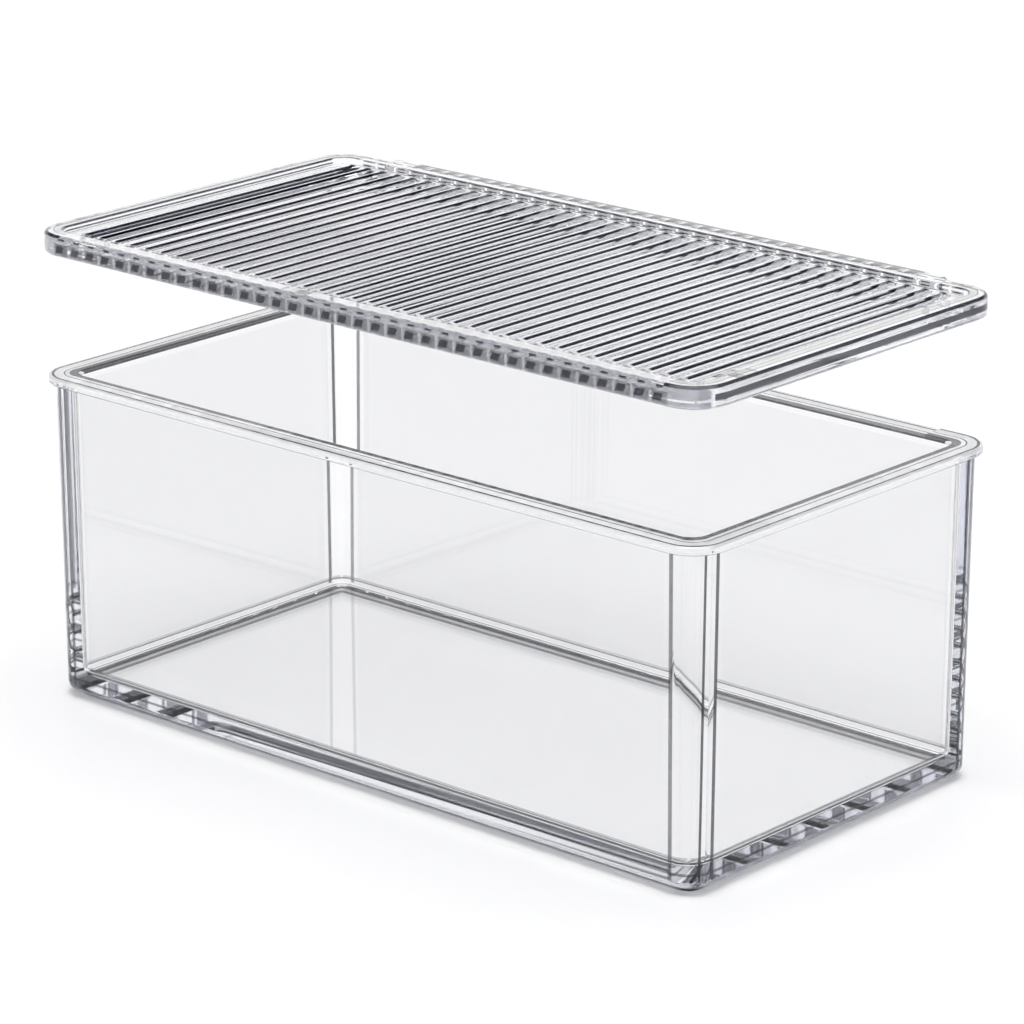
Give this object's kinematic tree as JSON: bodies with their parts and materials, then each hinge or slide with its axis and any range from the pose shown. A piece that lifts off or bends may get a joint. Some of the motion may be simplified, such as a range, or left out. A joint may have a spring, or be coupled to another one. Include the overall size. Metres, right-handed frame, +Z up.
{
  "type": "acrylic storage box",
  "caption": "Clear thick-walled rectangular box with rounded corners, beaded rim and foot ring, and a loose ribbed lid with a finger lip, shown lifted off above it.",
  "frame": {"origin": "middle of the foot ring's underside, on the surface that the box stands on", "axes": "+X along the long side, +Y to the back, where the lid's finger lip is, +Z up"},
  "size_m": [0.16, 0.086, 0.0906],
  "materials": {
    "clear_body": "polished clear acrylic",
    "clear_lid": "polished clear acrylic"
  },
  "bodies": {
    "box": {"box_body": "clear_body"},
    "lid": {"lid": "clear_lid"}
  },
  "joints": [
    {"name": "lid_lift", "type": "slide", "parent": "box", "child": "lid", "axis": [0, 0, 1], "range_m": [-0.02355, 0.03]}
  ]
}
